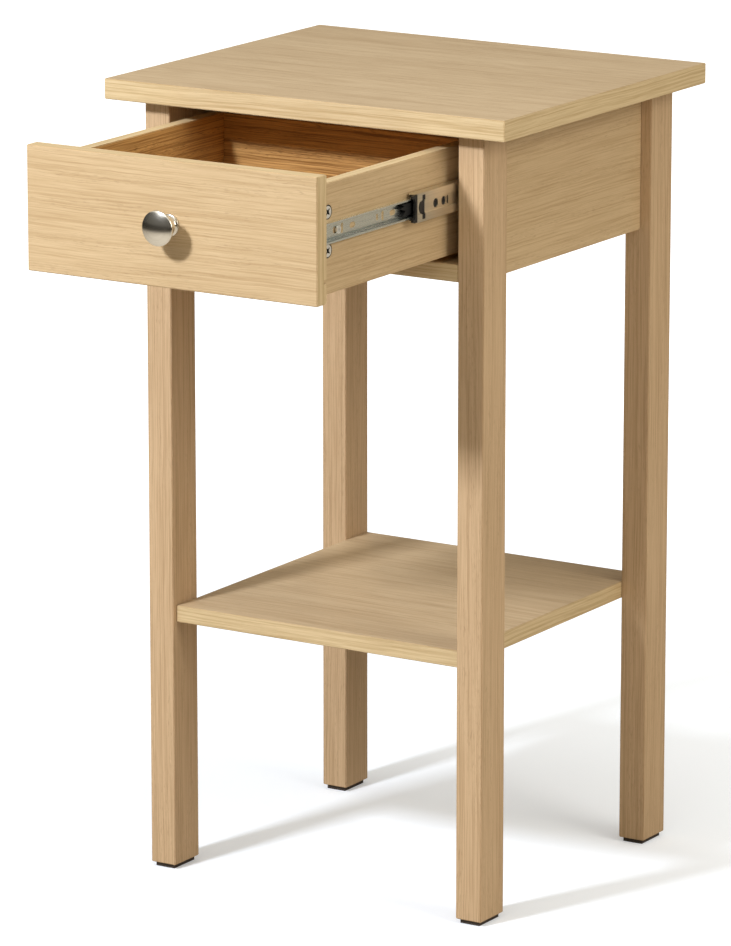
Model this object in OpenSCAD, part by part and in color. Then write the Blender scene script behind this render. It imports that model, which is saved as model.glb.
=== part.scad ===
// Tall nightstand with one drawer on ball-bearing slides and one open shelf.
// Millimetres, +Z up, the front faces -Y. The origin is on the floor, at the
// centre of the rectangle that the four legs stand in. The drawer is drawn
// partly open.

/* [Overall size] */
// Width of the top panel
top_w = 400; // [320:5:520]
// Depth of the top panel
top_d = 345; // [280:5:440]
// Height from the floor to the top surface
total_h = 707; // [560:1:860]

/* [Top panel] */
// Thickness of the top panel
top_t = 18; // [15:1:25]
// How far the top stands out over the legs at each side
overhang_side = 30; // [10:1:40]
// How far the top stands out over the legs at the front
overhang_front = 18; // [5:1:30]
// How far the top stands out over the legs at the back
overhang_back = 5; // [0:1:30]

/* [Legs] */
// Width of a leg, seen from the front
leg_w = 25; // [20:1:40]
// Depth of a leg, seen from the side
leg_d = 38; // [30:1:60]
// Thickness of the pad under a leg
pad_t = 4; // [2:0.5:8]
// How far the pad stays inside the outline of the leg
pad_inset = 3; // [1:0.5:6]

/* [Boards] */
// Thickness of the aprons, the bottom panel, the back panel and the shelf
board_t = 15; // [15:1:18]
// Clear height of the drawer bay
bay_h = 112; // [95:1:160]
// Height of the shelf's upper face above the floor
shelf_top = 241; // [120:1:380]
// How far the shelf's front edge stays behind the front of the legs
shelf_setback_front = 5; // [0:1:20]
// How far the shelf and the back panel stay inside the back of the legs
setback_back = 2; // [0:1:10]

/* [Drawer] */
// Thickness of the drawer front
front_t = 15; // [15:1:20]
// Gap between the drawer front and each leg
front_gap_side = 2.5; // [1:0.25:5]
// Gap above the drawer front
front_gap_top = 3.75; // [1:0.25:6]
// Gap below the drawer front
front_gap_bottom = 1.75; // [1:0.25:5]
// Thickness of the drawer's sides and back
box_t = 12; // [12:1:15]
// How far the drawer's sides start above the lower edge of the front
box_lift = 4; // [2:1:12]
// How far the drawer's sides end below the upper edge of the front
box_drop = 10.5; // [5:0.5:25]
// Gap between the drawer's back and the back panel
rear_gap = 30; // [10:1:60]
// Thickness of the drawer bottom
drawer_bottom_t = 3; // [3:0.5:6]
// Height of the drawer bottom above the lower edge of the sides
drawer_bottom_lift = 13.5; // [8:0.5:25]
// Depth of the groove that the drawer bottom slides into
groove_deep = 5; // [3:0.5:7]
// How far the drawer stands open, as a share of the slide's full travel
drawer_opening = 0.864; // [0:0.001:1]

/* [Knob] */
// Diameter of the knob's face
knob_d = 30; // [20:0.5:40]
// Diameter of the knob's foot
knob_foot_d = 18.5; // [14:0.5:24]
// Diameter of the knob's waist
knob_waist_d = 12.5; // [9:0.5:16]
// How far the knob stands out from the drawer front
knob_h = 22.5; // [18:0.5:36]

/* [Slides] */
// Space that a slide takes between the drawer and the apron
slide_t = 12.7; // [12.7:0.1:14]
// Height of the slides' centre line above the lower edge of the drawer's sides
slide_lift = 52; // [40:1:70]
// Height of the cabinet member
cabinet_member_h = 35; // [35:1:38]
// Height of the drawer member
drawer_member_h = 16; // [15:0.5:17]
// Steel thickness of the cabinet and the drawer member
steel_t = 1.2; // [1:0.1:1.4]
// Diameter of the inner balls
inner_ball_d = 2.8; // [2.4:0.1:3]
// Travel of the middle member for each millimetre of the drawer's travel
middle_ratio = 0.4; // [0.3:0.01:0.5]

/* [Fittings] */
// Diameter of a cam lock in the carcass
cam_d = 15; // [12:1:15]
// Diameter of a cam lock in the drawer's sides
drawer_cam_d = 12.5; // [12:0.5:15]
// Distance from a carcass cam's centre to the edge of its board
cam_reach = 24; // [20:1:34]
// Distance from a drawer cam's centre to the drawer front
drawer_cam_reach = 17.5; // [15:0.5:24]
// Height between the two cam locks on a drawer side
drawer_cam_spacing = 32; // [32:1:50]
// How far a cam bolt goes into the next board
bolt_embed = 11; // [8:0.5:12]
// Diameter of the dowels in the carcass
dowel_d = 8; // [6:1:8]
// Length of the dowels in the carcass
dowel_l = 30; // [24:1:32]

/* [Hidden] */
$fn = 48;

// Clearance around what is driven or pressed into a hole
fit = 0.05;
// Clearance between a sheet and the groove that it slides into
groove_play = 0.15;
// Clearance between a ball and each race
ball_play = 0.1;

// Places in the carcass, with the drawer shut
frame_w = top_w - 2 * overhang_side;
frame_d = top_d - overhang_front - overhang_back;
y_front = -frame_d / 2;
y_back = frame_d / 2;
x_in = frame_w / 2 - leg_w;
z_under_top = total_h - top_t;
z_bay = z_under_top - bay_h;
z_floor_panel = z_bay - board_t;
apron_mid_x = x_in + board_t / 2;
back_panel_y = y_back - setback_back - board_t;
shelf_y = y_front + shelf_setback_front;
shelf_d = y_back - setback_back - shelf_y;

// Places on the drawer, with the drawer shut
front_w = 2 * (x_in - front_gap_side);
front_h = bay_h - front_gap_top - front_gap_bottom;
front_z = z_bay + front_gap_bottom;
box_h = front_h - box_lift - box_drop;
box_x = x_in - slide_t;
box_y = y_front + front_t;
box_z = front_z + box_lift;
box_d = back_panel_y - rear_gap - box_y;
back_y = box_y + box_d - box_t;
slide_z = box_z + slide_lift;
groove_z = box_z + drawer_bottom_lift;

// Slides come in steps of 50 mm, and the longest that fits the box is used
slide_len = 50 * floor((box_d - 2) / 50);
slide_start = 1;
slide_y = box_y + slide_start;
drawer_open = drawer_opening * slide_len;
middle_out = middle_ratio * drawer_open;

// Cross-section of a slide. Depths are measured from the apron's face towards
// the drawer, heights from the slide's centre line. The middle member's web
// has a track pressed into it, towards the drawer.
inner_race = drawer_member_h / 2;
inner_ball_z = inner_race + ball_play + inner_ball_d / 2;
middle_t = 1.2;
middle_flange_in = inner_ball_z + inner_ball_d / 2 + ball_play;
middle_half_h = middle_flange_in + middle_t;
cabinet_flange_in = cabinet_member_h / 2 - steel_t;
outer_ball_d = cabinet_flange_in - middle_half_h - 2 * ball_play;
outer_ball_z = (cabinet_flange_in + middle_half_h) / 2;
outer_ball_s = 5.2;
inner_ball_s = 7.9;
cabinet_depth = 9.5;
middle_web_s = 2.4;
middle_depth = 10.8;
track_deep = 0.9;
track_half_h = 5.2;
drawer_member_s = 6;
lip_w = 0.8;
outer_lip = 0.9;
inner_lip = 0.5;
outer_cage_s = 1.5;
inner_cage_s = middle_web_s + middle_t + track_deep + 0.3;
cage_t = 0.6;
cage_gap = 0.3;

// Lengthwise places on a slide, measured from the cabinet member's front end
middle_start = 9;
middle_len = slide_len - middle_start - 4;
full_middle = middle_ratio * slide_len;
full_inner = slide_len - full_middle;
bumper_in = 14;
bumper_out = middle_start + slide_start - 3;
cage_margin = 3;
outer_cage_from = full_middle / 2 + cage_margin;
outer_cage_to = middle_start + middle_len - full_middle / 2 - cage_margin;
inner_cage_from = middle_start + bumper_in + full_inner / 2 + cage_margin;
inner_cage_to = slide_len - full_inner / 2 - cage_margin;
ball_pitch = 13;

// Screw places along the cabinet and the drawer member
cabinet_screw_at = [14, slide_len * 0.48, slide_len - 16];
drawer_screw_at = [28.5, slide_len - 28];
lever_at = 119.5;
lever_pivot_at = lever_at + 31;
lever_pin_d = 3;

// Fittings. A carcass cam is bored from one face of a board, and its bolt runs
// through the board's edge into the next board.
cam_h = board_t / 2 + 5;
drawer_cam_h = box_t / 2 + 4;
bolt_d = 6;
bolt_stem_d = 5;
bolt_neck_d = 3;
bolt_head_d = 6;
cam_play = 0.15;
screw_d = 3.5;
screw_head_d = 6.6;
screw_head_h = 1.9;
dowel_face_deep = 11;
small_dowel_d = 6;
small_dowel_l = 24;
small_dowel_face_deep = 9;
knob_screw_d = 4;
knob_screw_grip = 10;
pad_pin_d = 4;
pad_pin_l = 14;

// Where the fittings sit, as distances from the edges of the boards
floor_cam_y = [y_front + leg_d + 24, y_back - leg_d - 24];
floor_dowel_y = [y_front + leg_d / 2, floor_cam_y[0] + 34, floor_cam_y[1] - 34];
top_cam_y = [y_front + leg_d + 62, y_back - leg_d - 62];
top_dowel_y = [y_front + leg_d + 20, y_back - leg_d - 20];
shelf_cam_y = [y_front + 18, y_back - 18];
shelf_dowel_y = [y_front + leg_d - 5.5, y_back - leg_d + 5.5];
back_cam_z = [z_bay + 26, z_under_top - 26];
apron_dowel_z = [z_floor_panel + 30, z_under_top - 30];
drawer_cam_z = [slide_z - drawer_cam_spacing / 2, slide_z + drawer_cam_spacing / 2];
back_screw_z = [groove_z + 14, box_z + box_h - 14];

sides = ["left", "right"];

// ---- Placing -------------------------------------------------------------

// Everything on the left is the mirror image of the right
module on_side(side) {
    if (side == "left") mirror([1, 0, 0]) children();
    else children();
}

module both_sides() {
    for (side = sides) on_side(side) children();
}

// A box from its lowest corner and its size
module block(corner, size) {
    translate(corner) cube(size);
}

// How far each moving group has come out of the cabinet
module pulled_out(distance) {
    translate([0, -distance, 0]) children();
}

// A slide's own frame: X is the distance from the apron towards the drawer, Y
// runs back from the front end of the cabinet member, Z is up from the centre
// line. A slide on the right is drawn, and the left one is its mirror image.
module slide_frame() {
    translate([x_in, slide_y, slide_z]) mirror([1, 0, 0]) children();
}

// ---- Fittings --------------------------------------------------------------
// A cam's frame: the cam's face is at Z = 0 and looks along +Z, and the bolt
// runs along +X at half the thickness of the board.

module floor_cam_frames() {
    both_sides()
        for (y = floor_cam_y)
            translate([x_in - cam_reach, y, z_floor_panel]) rotate([180, 0, 0]) children();
}

module top_cam_frames() {
    both_sides()
        for (y = top_cam_y)
            translate([x_in, y, z_under_top - cam_reach]) rotate([0, -90, 0]) children();
}

module shelf_cam_frames() {
    both_sides()
        for (y = shelf_cam_y)
            translate([x_in - cam_reach, y, shelf_top - board_t]) rotate([180, 0, 0]) children();
}

module back_cam_frames() {
    both_sides()
        for (z = back_cam_z)
            translate([x_in - cam_reach, back_panel_y, z]) rotate([90, 0, 0]) children();
}

module drawer_cam_frames() {
    both_sides()
        for (z = drawer_cam_z)
            translate([box_x, box_y + drawer_cam_reach, z]) rotate([-90, 0, -90]) children();
}

module carcass_cam_frames() {
    floor_cam_frames() children();
    top_cam_frames() children();
    shelf_cam_frames() children();
    back_cam_frames() children();
}

// The bore for the cam, the channel to the board's edge and the pilot hole
// beyond it
module cam_cut(d, board, height, reach) {
    translate([0, 0, -height - 0.2]) cylinder(h = height + 1, d = d);
    translate([0, 0, -board / 2]) rotate([0, 90, 0]) {
        cylinder(h = reach, d = bolt_stem_d + 0.6);
        cylinder(h = reach + bolt_embed + 0.5, d = bolt_stem_d + 2 * fit);
        translate([0, 0, reach - 0.01]) cylinder(h = bolt_embed + 0.5, d = bolt_d + 2 * fit);
    }
}

// A zinc cam: a drum with a pocket that hooks behind the bolt's head, a slot
// for the bolt's neck, and a cross recess
module cam_lock(d, board, height) {
    drum_d = d - 2 * cam_play;
    neck_slot = bolt_neck_d + 0.6;
    pocket_d = bolt_head_d + 0.8;
    color("silver")
    translate([0, 0, -height])
    difference() {
        union() {
            cylinder(h = height - 0.6, d = drum_d);
            translate([0, 0, height - 0.6]) cylinder(h = 0.6, d1 = drum_d, d2 = drum_d - 1);
        }
        translate([0, 0, height - board / 2]) rotate([0, 90, 0]) {
            translate([0, 0, -2.4]) cylinder(h = 4.2, d = pocket_d);
            cylinder(h = d, d = neck_slot);
            translate([0, 0, 4]) cylinder(h = d, d = pocket_d);
        }
        for (turn = [0, 90])
            rotate([0, 0, turn + 45]) translate([-3.6, -0.8, height - 2]) cube([7.2, 1.6, 3]);
        translate([0, 0, height - 2]) cylinder(h = 3, d = 3.4);
    }
}

// A steel bolt: head, neck, stem and screwed end, along +X from the cam
module cam_bolt(board, reach) {
    color("silver")
    translate([0, 0, -board / 2]) rotate([0, 90, 0]) {
        translate([0, 0, -1.6]) cylinder(h = 2.4, d = bolt_head_d);
        cylinder(h = 8, d = bolt_neck_d);
        translate([0, 0, 7.6]) cylinder(h = reach - 7.6, d = bolt_stem_d);
        translate([0, 0, reach]) cylinder(h = bolt_embed - 1.5, d = bolt_d);
        translate([0, 0, reach + bolt_embed - 1.5]) cylinder(h = 1.5, d1 = bolt_d, d2 = 2.5);
    }
}

// A dowel lies across a joint: +Z points into the face of the next board
module dowel(d, length, face_deep) {
    chamfer = 0.8;
    edge_deep = length - face_deep;
    color("burlywood") {
        translate([0, 0, -edge_deep]) cylinder(h = chamfer, d1 = d - 2 * chamfer, d2 = d);
        translate([0, 0, chamfer - edge_deep]) cylinder(h = length - 2 * chamfer, d = d);
        translate([0, 0, face_deep - chamfer]) cylinder(h = chamfer, d1 = d, d2 = d - 2 * chamfer);
    }
}

module dowel_cut(d, length, face_deep) {
    end_room = 1;
    translate([0, 0, face_deep - length - end_room])
        cylinder(h = length + 2 * end_room, d = d + 2 * fit);
}

module apron_dowel_frames() {
    both_sides()
        for (z = apron_dowel_z, end = [0, 1])
            mirror([0, end, 0]) translate([apron_mid_x, y_front + leg_d, z])
                rotate([90, 0, 0]) children();
}

module floor_dowel_frames() {
    both_sides()
        for (y = floor_dowel_y)
            translate([x_in, y, z_floor_panel + board_t / 2]) rotate([0, 90, 0]) children();
}

module shelf_dowel_frames() {
    both_sides()
        for (y = shelf_dowel_y)
            translate([x_in, y, shelf_top - board_t / 2]) rotate([0, 90, 0]) children();
}

module top_dowel_frames() {
    both_sides()
        for (y = top_dowel_y)
            translate([apron_mid_x, y, z_under_top]) children();
}

module drawer_dowel_frames() {
    both_sides()
        translate([box_x - box_t / 2, box_y, slide_z]) rotate([90, 0, 0]) children();
}

// A wood screw along -Z, with the upper face of its head at Z = 0
module screw(length, head_h, head_d, under_d) {
    color("silver")
    difference() {
        union() {
            translate([0, 0, -head_h]) cylinder(h = head_h, d1 = under_d, d2 = head_d);
            translate([0, 0, 2 - length]) cylinder(h = length - head_h - 2, d = screw_d);
            translate([0, 0, -length]) cylinder(h = 2, d1 = 0.6, d2 = screw_d);
        }
        for (turn = [0, 90])
            rotate([0, 0, turn]) translate([-1.8, -0.35, -1.1]) cube([3.6, 0.7, 2]);
    }
}

module screw_cut(length, head_h, head_d, under_d) {
    translate([0, 0, -head_h]) cylinder(h = head_h, d1 = under_d + 2 * fit, d2 = head_d + 2 * fit);
    cylinder(h = 1, d = head_d + 2 * fit);
    translate([0, 0, -length - 0.3]) cylinder(h = length, d = screw_d + 2 * fit);
}

// ---- Carcass -----------------------------------------------------------------

module cut_for_carcass_fittings() {
    difference() {
        children();
        carcass_cam_frames() cam_cut(cam_d, board_t, cam_h, cam_reach);
        apron_dowel_frames() dowel_cut(dowel_d, dowel_l, dowel_l / 2);
        floor_dowel_frames() dowel_cut(dowel_d, dowel_l, dowel_face_deep);
        shelf_dowel_frames() dowel_cut(dowel_d, dowel_l, dowel_face_deep);
        top_dowel_frames() dowel_cut(dowel_d, dowel_l, dowel_face_deep);
        both_sides() cabinet_screw_frames() screw_cut(13, screw_head_h, screw_head_d, screw_d);
    }
}

module top_panel() {
    color("wheat")
    cut_for_carcass_fittings()
        block([-top_w / 2, y_front - overhang_front, z_under_top], [top_w, top_d, top_t]);
}

module leg_at_corner(side, end) {
    on_side(side) mirror([0, end == "back" ? 1 : 0, 0])
        translate([x_in, y_front, 0]) children();
}

module leg(side, end) {
    color("burlywood")
    cut_for_carcass_fittings()
        leg_at_corner(side, end)
        difference() {
            block([0, 0, pad_t], [leg_w, leg_d, z_under_top - pad_t]);
            translate([leg_w / 2, leg_d / 2, pad_t - 1])
                cylinder(h = pad_pin_l + 2, d = pad_pin_d + 2 * fit);
        }
}

// A moulded glide: a square pad with a pin that is knocked into the leg
module foot_pad(side, end) {
    color("dimgray")
    leg_at_corner(side, end) {
        block([pad_inset, pad_inset, 0], [leg_w - 2 * pad_inset, leg_d - 2 * pad_inset, pad_t]);
        translate([leg_w / 2, leg_d / 2, pad_t - 1]) cylinder(h = pad_pin_l + 1, d = pad_pin_d);
    }
}

module side_apron(side) {
    color("wheat")
    cut_for_carcass_fittings()
        on_side(side)
        block([x_in, y_front + leg_d, z_floor_panel],
              [board_t, frame_d - 2 * leg_d, z_under_top - z_floor_panel]);
}

module bottom_panel() {
    color("wheat")
    cut_for_carcass_fittings()
        block([-x_in, y_front, z_floor_panel], [2 * x_in, frame_d - setback_back, board_t]);
}

module back_panel() {
    color("wheat")
    cut_for_carcass_fittings()
        block([-x_in, back_panel_y, z_bay], [2 * x_in, board_t, bay_h]);
}

module shelf() {
    color("wheat")
    cut_for_carcass_fittings()
        block([-x_in, shelf_y, shelf_top - board_t], [2 * x_in, shelf_d, board_t]);
}

module apron_dowels() {
    apron_dowel_frames() dowel(dowel_d, dowel_l, dowel_l / 2);
}

module panel_dowels() {
    floor_dowel_frames() dowel(dowel_d, dowel_l, dowel_face_deep);
    shelf_dowel_frames() dowel(dowel_d, dowel_l, dowel_face_deep);
    top_dowel_frames() dowel(dowel_d, dowel_l, dowel_face_deep);
}

module carcass_cam_locks() {
    carcass_cam_frames() cam_lock(cam_d, board_t, cam_h);
}

module carcass_cam_bolts() {
    carcass_cam_frames() cam_bolt(board_t, cam_reach);
}

// ---- Slides --------------------------------------------------------------------
// Each member is a channel along Y. Its outline is drawn with X from the apron
// towards the drawer and Y as the height, and is then laid along the slide.

module along_slide(from, length) {
    translate([0, from + length, 0]) rotate([90, 0, 0]) linear_extrude(height = length) children();
}

// A channel with its web at web_s, flanges that reach tip_s, and a lip on each
// flange's edge that keeps the balls in: lip_z is where the lip ends
module channel(web_s, web_t, tip_s, flange_in, flange_out, lip_z) {
    s0 = min(web_s, tip_s);
    s1 = max(web_s + web_t, tip_s);
    lip_s = tip_s > web_s ? tip_s - lip_w : tip_s;
    for (m = [0, 1]) mirror([0, m]) {
        translate([web_s, 0]) square([web_t, flange_out]);
        translate([s0, flange_in]) square([s1 - s0, flange_out - flange_in]);
        translate([lip_s, min(lip_z, flange_in)])
            square([lip_w, max(lip_z, flange_out) - min(lip_z, flange_in)]);
    }
}

// An upright slot in a member's web, or an oval one when it is wider than high
module web_slot(at, s, width, height) {
    r = min(width, height) / 2;
    spread = abs(height - width) / 2;
    tall = height > width;
    for (k = [-1, 1])
        translate([s, at + (tall ? 0 : k * spread), tall ? k * spread : 0])
            rotate([0, 90, 0]) cylinder(h = 4, r = r, center = true);
    translate([s, at, 0])
        cube([4, tall ? width : 2 * spread, tall ? 2 * spread : height], center = true);
}

// Where the cabinet member is screwed to the leg and the apron
module cabinet_screw_frames() {
    slide_frame()
        for (at = cabinet_screw_at)
            translate([steel_t, at, 0]) rotate([0, 90, 0]) children();
}

module drawer_screw_frames() {
    slide_frame()
        for (at = drawer_screw_at)
            translate([slide_t - steel_t - screw_head_h, at, 0]) rotate([0, -90, 0]) children();
}

module cabinet_member(side) {
    color("gainsboro")
    on_side(side)
    difference() {
        slide_frame()
        difference() {
            along_slide(0, slide_len)
                channel(0, steel_t, cabinet_depth, cabinet_flange_in,
                        cabinet_member_h / 2, cabinet_flange_in - outer_lip);
            web_slot(34, 0, 4.5, 11);
            web_slot(slide_len - 40, 0, 11, 4.5);
            web_slot(slide_len - 62, 0, 4.5, 11);
        }
        cabinet_screw_frames() screw_cut(13, screw_head_h, screw_head_d, screw_d);
    }
}

module cabinet_member_screws() {
    both_sides() cabinet_screw_frames() screw(13, screw_head_h, screw_head_d, screw_d);
}

// A rubber-like stop at the back of the cabinet member, which the middle
// member meets when the drawer is shut
module closing_stop(side) {
    stop_from = middle_start + middle_len + cage_gap;
    stop_t = drawer_member_s - cage_gap - steel_t;
    color("black")
    on_side(side) slide_frame()
        block([steel_t, stop_from, -9], [stop_t, slide_len - stop_from, 18]);
}

module ball_row_places(from, to) {
    count = max(2, floor((to - from - 4) / ball_pitch) + 1);
    first = (from + to - (count - 1) * ball_pitch) / 2;
    for (i = [0:count - 1], up = [-1, 1])
        translate([0, first + i * ball_pitch, 0]) scale([1, 1, up]) children();
}

module ball_cage(web_s, tip_s, ball_s, ball_z, ball_d, from, to) {
    half_t = 0.4;
    difference() {
        along_slide(from, to - from)
            for (m = [0, 1]) mirror([0, m]) {
                translate([web_s, 0]) square([cage_t, ball_z + half_t]);
                translate([web_s, ball_z - half_t]) square([tip_s - web_s, 2 * half_t]);
            }
        ball_row_places(from, to)
            translate([ball_s, 0, ball_z - 1.5]) cylinder(h = 3, d = ball_d + 0.2);
    }
}

module balls(ball_s, ball_z, ball_d, from, to) {
    color("silver")
    ball_row_places(from, to)
        translate([ball_s, 0, ball_z]) sphere(d = ball_d, $fn = 24);
}

module outer_ball_cage(side) {
    color("gray")
    on_side(side) slide_frame() pulled_out(middle_out / 2)
        ball_cage(outer_cage_s, cabinet_depth - lip_w - cage_gap, outer_ball_s,
                  outer_ball_z, outer_ball_d, outer_cage_from, outer_cage_to);
}

module outer_balls(side) {
    on_side(side) slide_frame() pulled_out(middle_out / 2)
        balls(outer_ball_s, outer_ball_z, outer_ball_d, outer_cage_from, outer_cage_to);
}

module inner_ball_cage(side) {
    color("black")
    on_side(side) slide_frame() pulled_out((middle_out + drawer_open) / 2)
        ball_cage(inner_cage_s, middle_depth - lip_w - cage_gap, inner_ball_s,
                  inner_ball_z, inner_ball_d, inner_cage_from, inner_cage_to);
}

module inner_balls(side) {
    on_side(side) slide_frame() pulled_out((middle_out + drawer_open) / 2)
        balls(inner_ball_s, inner_ball_z, inner_ball_d, inner_cage_from, inner_cage_to);
}

// An outline in the plane of a web, from Y and Z, made solid from one depth to
// another
module upright(s0, s1) {
    translate([s0, 0, 0]) rotate([90, 0, 90]) linear_extrude(height = s1 - s0) children();
}

// The slot that the bumper's rib snaps into: upright, and bowed forward over
// the height of the track
module bumper_slot(play) {
    at = middle_start + 8;
    width = 4.6;
    half_h = 10.2;
    bow = 4.4;
    bow_half_h = 6;
    bow_r = (bow_half_h * bow_half_h + bow * bow) / (2 * bow);
    translate([at - play, -half_h - play]) square([width + 2 * play, 2 * (half_h + play)]);
    difference() {
        translate([at + bow_r - bow, 0]) circle(r = bow_r + play);
        translate([at + width / 2, -2 * bow_r]) square(4 * bow_r);
    }
}

module middle_outline() {
    difference() {
        union() {
            channel(middle_web_s, middle_t, middle_depth, middle_flange_in,
                    middle_half_h, middle_flange_in - inner_lip);
            translate([middle_web_s, -track_half_h - middle_t])
                square([middle_t + track_deep, 2 * (track_half_h + middle_t)]);
        }
        translate([middle_web_s - 1, -track_half_h]) square([1 + track_deep, 2 * track_half_h]);
    }
}

module middle_member(side) {
    track_s = middle_web_s + track_deep;
    color("gainsboro")
    on_side(side) slide_frame() pulled_out(middle_out)
    difference() {
        along_slide(middle_start, middle_len) middle_outline();
        upright(middle_web_s - 1, track_s + middle_t + 1) bumper_slot(fit);
        web_slot(middle_start + 30.5, track_s, 7.4, 7.8);
        web_slot(middle_start + 43, track_s, 6.4, 7.6);
        web_slot(middle_start + 49.3, track_s, 2.6, 7.2);
        web_slot(middle_start + middle_len - 22, track_s, 4.5, 9);
    }
}

// A plastic end piece in the front of the middle member: a C in front of the
// web with a prong above and below, a back plate behind the web, and a rib
// that fills the slot
module middle_bumper(side) {
    back_s = drawer_member_s - cage_gap;
    track_back_s = middle_web_s + middle_t + track_deep;
    prong_s = middle_depth - lip_w - 0.1;
    prong_in = inner_race + inner_lip + cage_gap;
    prong_out = middle_flange_in - 0.05;
    body_out = bumper_out * 0.4;
    prong_back = bumper_out * 0.6;
    half_h = middle_half_h - 0.6;
    color("black")
    on_side(side) slide_frame() pulled_out(middle_out) {
        upright(middle_web_s, track_back_s)
            translate([middle_start, 0])
            polygon([[0, -half_h], [-prong_back, -half_h], [-bumper_out, -half_h + 0.6],
                     [-bumper_out, -prong_in - 0.2], [-prong_back, -prong_in],
                     [-body_out, -track_half_h], [-body_out, track_half_h],
                     [-prong_back, prong_in], [-bumper_out, prong_in + 0.2],
                     [-bumper_out, half_h - 0.6], [-prong_back, half_h], [0, half_h]]);
        block([track_back_s, middle_start - 0.5, -prong_out],
              [back_s - track_back_s, bumper_in + 0.5, 2 * prong_out]);
        upright(middle_web_s + track_deep + 0.2, back_s) bumper_slot(0);
        for (m = [0, 1]) mirror([0, 0, m]) {
            block([middle_web_s + middle_t, middle_start - 0.5, track_half_h + middle_t + 0.05],
                  [back_s - middle_web_s - middle_t, bumper_in + 0.5,
                   prong_out - track_half_h - middle_t - 0.05]);
            block([middle_web_s + 0.1, middle_start + 8, track_half_h + 1], [3, 4.6, 4]);
            block([back_s - 0.1, middle_start - 0.5, prong_in + 0.2],
                  [prong_s - back_s + 0.1, bumper_in + 0.5, prong_out - prong_in - 0.2]);
        }
    }
}

module drawer_member(side) {
    web_s = slide_t - steel_t;
    color("gainsboro")
    on_side(side) pulled_out(drawer_open)
    difference() {
        slide_frame()
        difference() {
            along_slide(0, slide_len)
                channel(web_s, steel_t, drawer_member_s, inner_race - 1,
                        inner_race, inner_race + inner_lip);
            web_slot(26, web_s, 8, 5.6);
            web_slot(36, web_s, 3.2, 8.5);
            web_slot(52, web_s, 8.5, 4.8);
            web_slot(90, web_s, 3, 5.5);
            web_slot(98.5, web_s, 3.2, 8.5);
            web_slot(114, web_s, 8.5, 4.8);
            web_slot(slide_len - 44, web_s, 8.5, 4.8);
            lever_pivot_frame() cylinder(h = 6, d = lever_pin_d + 2 * fit, center = true);
        }
        drawer_screw_frames() screw_cut(13, screw_head_h, screw_head_d, screw_head_d - 1);
    }
}

module drawer_member_screws() {
    both_sides() pulled_out(drawer_open)
        drawer_screw_frames() screw(13, screw_head_h, screw_head_d, screw_head_d - 1);
}

module lever_pivot_frame() {
    translate([slide_t, lever_pivot_at, 0]) rotate([0, 90, 0]) children();
}

// The lever that lets the drawer be lifted off its slides: a flat arm that
// turns about a pin in the drawer member's web, with two pointed prongs
module release_lever(side) {
    arm_s = drawer_member_s + 1.5;
    arm_end_s = slide_t - steel_t - 0.3;
    waist_at = lever_at + 17;
    heel_at = lever_pivot_at + 4.5;
    color("black")
    on_side(side) slide_frame() pulled_out(drawer_open) {
        upright(arm_s, arm_end_s)
            polygon([[lever_at + 3, -5.3], [waist_at, -4.8], [heel_at, -3.4],
                     [heel_at, 3.4], [waist_at, 4.8], [lever_at + 2, 5.3],
                     [lever_at + 7, 3.4], [lever_at, 1.8], [lever_at + 9, -0.6]]);
        translate([arm_end_s - 0.5, lever_pivot_at, 0]) rotate([0, 90, 0])
            cylinder(h = 0.3 + steel_t + 0.4, d = lever_pin_d);
    }
}

// ---- Drawer ----------------------------------------------------------------------

module drawer_sheet(play) {
    reach = groove_deep - (play > 0 ? 0 : 0.3);
    block([-(box_x - box_t) - reach, box_y - reach, groove_z - play],
          [2 * (box_x - box_t + reach), back_y - box_y + 2 * reach, drawer_bottom_t + 2 * play]);
}

module cut_for_drawer_fittings() {
    difference() {
        children();
        drawer_cam_frames() cam_cut(drawer_cam_d, box_t, drawer_cam_h, drawer_cam_reach);
        drawer_dowel_frames() dowel_cut(small_dowel_d, small_dowel_l, small_dowel_face_deep);
        back_screw_frames() screw_cut(36, 2.4, 7.2, screw_d);
        both_sides() drawer_screw_frames()
            screw_cut(13, screw_head_h, screw_head_d, screw_head_d - 1);
        drawer_sheet(groove_play);
    }
}

module back_screw_frames() {
    both_sides()
        for (z = back_screw_z)
            translate([box_x, back_y + box_t / 2, z]) rotate([0, 90, 0]) children();
}

// The groove for the drawer bottom runs out at both ends of the front
module drawer_front() {
    color("wheat")
    pulled_out(drawer_open)
    difference() {
        cut_for_drawer_fittings()
            block([-front_w / 2, y_front, front_z], [front_w, front_t, front_h]);
        block([-front_w / 2 - 1, box_y - groove_deep, groove_z - groove_play],
              [front_w + 2, groove_deep + 1, drawer_bottom_t + 2 * groove_play]);
        knob_frame() translate([0, 0, -front_t - 1])
            cylinder(h = front_t + 2, d = knob_screw_d + 2 * fit + 0.4);
    }
}

// The grooves in the sides run out at the back
module drawer_side(side) {
    color("wheat")
    pulled_out(drawer_open)
    difference() {
        cut_for_drawer_fittings()
            on_side(side) block([box_x - box_t, box_y, box_z], [box_t, box_d, box_h]);
        on_side(side)
            block([box_x - box_t - 1, box_y - 1, groove_z - groove_play],
                  [groove_deep + 1, box_d + 2, drawer_bottom_t + 2 * groove_play]);
    }
}

module drawer_back() {
    color("peru")
    pulled_out(drawer_open)
    difference() {
        cut_for_drawer_fittings()
            block([-(box_x - box_t), back_y, box_z], [2 * (box_x - box_t), box_t, box_h]);
        block([-box_x, back_y - 1, groove_z - groove_play],
              [2 * box_x, groove_deep + 1, drawer_bottom_t + 2 * groove_play]);
    }
}

module drawer_bottom() {
    color("peru")
    pulled_out(drawer_open) drawer_sheet(0);
}

module drawer_cam_locks() {
    pulled_out(drawer_open) drawer_cam_frames() cam_lock(drawer_cam_d, box_t, drawer_cam_h);
}

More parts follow.
